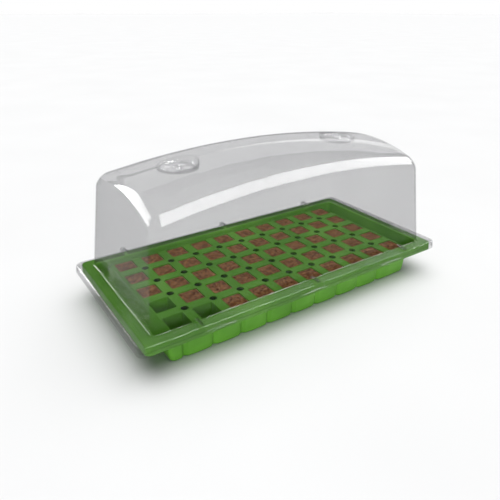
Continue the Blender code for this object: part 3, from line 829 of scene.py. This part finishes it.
def lug_form(name, inset):
    """Six bars across the flange, from inside the wall to its edge."""
    bm = bmesh.new()
    outer_y = DOME_SIDE - 0.4 * MM - inset
    inner_y = DOME_FOOT[1] - 2 * MM
    low_z = FLANGE_TOP_Z - DOME_WALL - (CUT_EXTRA if inset else 0.4 * MM)
    top_z = FLANGE_TOP_Z + LUG_HEIGHT - inset
    half = LUG_WIDTH / 2 - inset
    slope = 1 * MM
    for side in (-1, 1):
        for centre in LUG_CENTRES:
            x = centre * -side
            near, far = side * inner_y, side * outer_y
            base = [(x - half, near), (x + half, near), (x + half, far), (x - half, far)]
            far_top = far - side * slope
            top_half = half - slope
            top = [(x - top_half, near), (x + top_half, near)]
            top += [(x + top_half, far_top), (x - top_half, far_top)]
            rings = [add_ring(bm, base, low_z), add_ring(bm, top, top_z)]
            join_all(bm, rings)
            bm.faces.new(rings[0])
            bm.faces.new(rings[1])
    return finish_mesh(bm, name, None)


def window_form(name, first_turn, low_z, high_z, centres, post_hole=False):
    """Cutters for four air windows about each centre, and for the post's hole where asked."""
    steps = 8
    bm = bmesh.new()
    outlines = []
    for i in range(4):
        middle = first_turn + math.pi / 2 * i
        angles = [middle + WINDOW_ANGLE * (k / steps - 0.5) for k in range(steps + 1)]
        outer = [(WINDOW_OUTER * math.cos(a), WINDOW_OUTER * math.sin(a)) for a in angles]
        inner = [(WINDOW_INNER * math.cos(a), WINDOW_INNER * math.sin(a)) for a in reversed(angles)]
        outlines.append(outer + inner)
    if post_hole:
        outlines.append(circle(POST_HOLE_RADIUS, 32))
    for centre_x in centres:
        for outline in outlines:
            moved = [(x + centre_x, y) for x, y in outline]
            rings = [add_ring(bm, moved, low_z), add_ring(bm, moved, high_z)]
            join_all(bm, rings)
            bm.faces.new(rings[0])
            bm.faces.new(rings[1])
    return finish_mesh(bm, name, None)


def add_dome(material):
    """The dome: outside less inside, with hollow bars on its flange and two wells with their openings."""
    dome = dome_form("dome_shell", 0.0)
    inside = dome_form("dome_inside", DOME_WALL)
    boolean(inside, lug_form("lug_spaces", DOME_WALL), "UNION")
    boolean(inside, well_form("well_jackets", DOME_WALL), "DIFFERENCE")
    boolean(dome, lug_form("lug_solids", 0.0), "UNION")
    boolean(dome, well_form("well_spaces", 0.0), "DIFFERENCE")
    boolean(dome, inside, "DIFFERENCE")
    low, high = WELL_FLOOR_Z - CUT_EXTRA, WELL_FLOOR_Z + 2 * MM
    vent_cuts = window_form("vent_cuts", math.pi / 4, low, high, (-VENT_X, VENT_X), True)
    boolean(dome, vent_cuts, "DIFFERENCE")
    clear_solid(dome, material)
    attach(dome, "dome")
    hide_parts("dome")
    return dome


# Vent discs


def add_disc(side_name, side, material):
    """A vent disc about its own pivot: a turned disc with its barbed post, its windows and its grip."""
    name = "vent_disc_" + side_name
    barb_top = -DOME_WALL - GAP
    profile = [
        (3.0 * MM, barb_top - 2.4 * MM),
        (4.6 * MM, barb_top - 1.0 * MM),
        (BARB_RADIUS, barb_top - 0.6 * MM),
        (BARB_RADIUS, barb_top),
        (POST_RADIUS, barb_top),
        (POST_RADIUS, GAP),
        (DISC_RADIUS - 0.3 * MM, GAP),
        (DISC_RADIUS, GAP + 0.3 * MM),
        (DISC_RADIUS, GAP + 3.3 * MM),
        (DISC_RADIUS - 0.3 * MM, GAP + 3.6 * MM),
        (DISC_RADIUS - 1.3 * MM, GAP + 3.6 * MM),
        (DISC_RADIUS - 1.6 * MM, GAP + 3.3 * MM),
        (DISC_RADIUS - 1.6 * MM, GAP + 2.0 * MM),
        (DISC_RADIUS - 2.0 * MM, GAP + 1.6 * MM),
        (7.4 * MM, GAP + 1.6 * MM),
        (7.0 * MM, GAP + 2.0 * MM),
        (6.6 * MM, GAP + 3.9 * MM),
        (6.3 * MM, GAP + 4.2 * MM),
    ]
    bm = bmesh.new()
    lathe(bm, (0.0, 0.0), profile, 72, math.pi / 72)
    disc = finish_mesh(bm, name + "_clear", None)
    boolean(disc, window_form(name + "_windows", 0.0, 0.0, 8 * MM, (0.0,)), "DIFFERENCE")
    bm = bmesh.new()
    half_x, half_y, taper = GRIP_HALF_LENGTH, GRIP_HALF_WIDTH, 0.7 * MM
    grip_top = GAP + GRIP_HEIGHT
    stations = [
        ((half_x, half_y, half_y * 0.9, GAP + 0.8 * MM), 0),
        ((half_x - 2 * taper, half_y - taper, (half_y - taper) * 0.9, grip_top), 0.6 * MM),
        ((half_x - 3 * taper, 0.4 * MM, 0.3 * MM, grip_top), 0),
    ]
    rings = [add_ring(bm, rounded_outline((a, b, r), 4), z) for a, b, r, z in eased(stations)]
    join_all(bm, rings)
    bm.faces.new(rings[0])
    bm.faces.new(rings[-1])
    turned = Matrix.Rotation(math.pi / 4, 3, "Z")
    bmesh.ops.rotate(bm, verts=bm.verts, cent=(0, 0, 0), matrix=turned)
    boolean(disc, finish_mesh(bm, name + "_grip", None), "UNION")
    clear_solid(disc, material)
    disc.location = (side * VENT_X, 0.0, WELL_FLOOR_Z)
    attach(disc, name)
    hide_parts(name)
    return disc


# Studio


def add_floor():
    """A wide, plain pale floor at the tray's foot."""
    bm = bmesh.new()
    reach = FLOOR_REACH
    corners = [(-reach, -reach), (reach, -reach), (reach, reach), (-reach, reach)]
    bm.faces.new([bm.verts.new((x, y, 0.0)) for x, y in corners])
    made, tree, shader, _ = node_material("studio_floor")
    tone = ramp(tree, noise_at(tree, 3.0, 2.0), [(0.3, (0.80, 0.80, 0.80)), (0.7, (0.82, 0.82, 0.82))])
    tree.links.new(tone, shader.inputs["Base Color"])
    shader.inputs["Roughness"].default_value = 0.30
    shader.inputs["Specular IOR Level"].default_value = 0.0
    floor = finish_mesh(bm, "studio_floor", made)
    return floor


def add_world():
    """White where the camera sees past the floor, and a dim grey room for all other light."""
    world = bpy.data.worlds.new("studio")
    bpy.context.scene.world = world
    world.use_nodes = True
    tree = world.node_tree
    room = tree.nodes["Background"]
    room.inputs["Color"].default_value = (0.96, 0.98, 1.0, 1.0)
    room.inputs["Strength"].default_value = ROOM_LIGHT
    white = add_node(tree, "ShaderNodeBackground", Color=(1.0, 1.0, 1.0, 1.0), Strength=1.0)
    path = add_node(tree, "ShaderNodeLightPath")
    choice = add_node(tree, "ShaderNodeMixShader")
    tree.links.new(path.outputs["Is Camera Ray"], choice.inputs["Fac"])
    tree.links.new(room.outputs[0], choice.inputs[1])
    tree.links.new(white.outputs[0], choice.inputs[2])
    tree.links.new(choice.outputs[0], tree.nodes["World Output"].inputs["Surface"])


def add_light(name, kind, place, target, power):
    """A light at a place, aimed at a target."""
    light = bpy.data.lights.new(name, kind)
    light.energy = power
    made = bpy.data.objects.new(name, light)
    made.location = place
    aim = Vector(target) - Vector(place)
    made.rotation_euler = aim.to_track_quat("-Z", "Y").to_euler()
    bpy.context.scene.collection.objects.link(made)
    return made


def add_softbox(name, place, target, size, radiance):
    """A rectangular light of a given radiance. size is (across, up) when it faces sideways."""
    made = add_light(name, "AREA", place, target, radiance * math.pi * size[0] * size[1])
    made.data.shape = "RECTANGLE"
    made.data.size, made.data.size_y = size
    return made


def add_panel(name, place, size, radiance, target=None):
    """A softbox that faces the axis through the tray at its own height, unless it has a target."""
    return add_softbox(name, place, target or (0.0, 0.0, place[2]), size, radiance)


def only_mirrored(light, pieces):
    """Keeps a light to the reflections in the given pieces."""
    light.visible_camera = False
    light.visible_diffuse = False
    light.visible_transmission = False
    light.light_linking.receiver_collection = pieces


def collect(name, pieces):
    """A collection of the pieces, for a light to be linked to."""
    made = bpy.data.collections.new(name)
    for piece in pieces:
        made.objects.link(piece)
    return made


def add_studio(clear_pieces, solid_pieces):
    """The floor, the soft light on everything, and the panels that only the clear parts mirror."""
    floor = add_floor()
    add_world()
    sky = add_light("overhead_light", "SUN", (0.5, 0.0, 3.0), (0.0, 0.0, 0.0), SKY_LIGHT)
    sky.data.angle = SKY_SPREAD
    sky.visible_glossy = False
    ceiling = add_softbox("ceiling_softbox", (0.3, 0.2, 1.6), (0.3, 0.2, 0.0), (1.4, 1.4), CEILING_RADIANCE)
    ceiling.visible_diffuse = False
    fill = add_softbox("front_fill", (-1.3, -2.5, 1.0), (0.0, 0.0, 0.05), (2.0, 1.2), FILL_RADIANCE)
    fill.visible_glossy = False
    fill.light_linking.receiver_collection = collect("solid_pieces", solid_pieces)

    mirrors = collect("clear_pieces", clear_pieces)
    below_front = (*FRONT_PANEL_PLACE[:2], 0.0)
    front = add_panel("front_eave_panel", FRONT_PANEL_PLACE, FRONT_PANEL_SIZE, EAVE_RADIANCE, below_front)
    front.rotation_euler = (0.0, 0.0, FRONT_PANEL_TURN)
    only_mirrored(front, mirrors)
    end = add_panel("end_eave_panel", END_PANEL_PLACE, END_PANEL_SIZE, EAVE_RADIANCE)
    only_mirrored(end, mirrors)
    horizon = add_panel("horizon_panel", HORIZON_PANEL_PLACE, HORIZON_PANEL_SIZE, HORIZON_RADIANCE)
    roof_target = (ROOF_PANEL_PLACE[0], 0.0, ROOF_PANEL_PLACE[2])
    roof = add_panel("roof_panel", ROOF_PANEL_PLACE, ROOF_PANEL_SIZE, ROOF_RADIANCE, roof_target)
    only_mirrored(roof, mirrors)
    only_mirrored(horizon, collect("clear_pieces_and_floor", clear_pieces + [floor]))


def add_camera():
    """The camera, looking along its azimuth and down by its elevation, with a trace of roll."""
    camera = bpy.data.cameras.new("studio_camera")
    camera.sensor_width = 36.0
    camera.lens = CAMERA_LENS
    made = bpy.data.objects.new("studio_camera", camera)
    made.location = CAMERA_PLACE
    level = math.cos(CAMERA_ELEVATION)
    back_x = math.sin(CAMERA_AZIMUTH) * level
    back_y = -math.cos(CAMERA_AZIMUTH) * level
    back = Vector((back_x, back_y, math.sin(CAMERA_ELEVATION)))
    made.rotation_mode = "QUATERNION"
    facing = back.to_track_quat("Z", "Y")
    roll = Quaternion((0.0, 0.0, 1.0), CAMERA_ROLL)
    made.rotation_quaternion = facing @ roll
    bpy.context.scene.collection.objects.link(made)
    bpy.context.scene.camera = made


def main():
    tray_green = green_plastic("tray_green", *TRAY_TONES)
    insert_green = green_plastic("insert_green", *INSERT_TONES)
    dome_clear = clear_plastic("dome_clear", *DOME_TINTS, haze=0.001, roughness=0.02, head_on=DOME_MIRROR)
    vent_clear = clear_plastic("vent_clear", *VENT_TINTS, haze=0.002, roughness=0.03, head_on=VENT_MIRROR)
    solid_pieces = [add_tray(tray_green), add_insert(insert_green)]
    brown = sponge("plug_brown")
    for index, node in enumerate(PLUG_NODES):
        solid_pieces.append(add_plug(node, index, brown))
    dome = add_dome(dome_clear)
    discs = [add_disc("left", -1, vent_clear), add_disc("right", 1, vent_clear)]
    add_studio([dome] + discs, solid_pieces)
    add_camera()
    bpy.context.scene.view_settings.view_transform = "Standard"
    bpy.context.scene.cycles.transparent_max_bounces = CLEAR_BOUNCES


main()
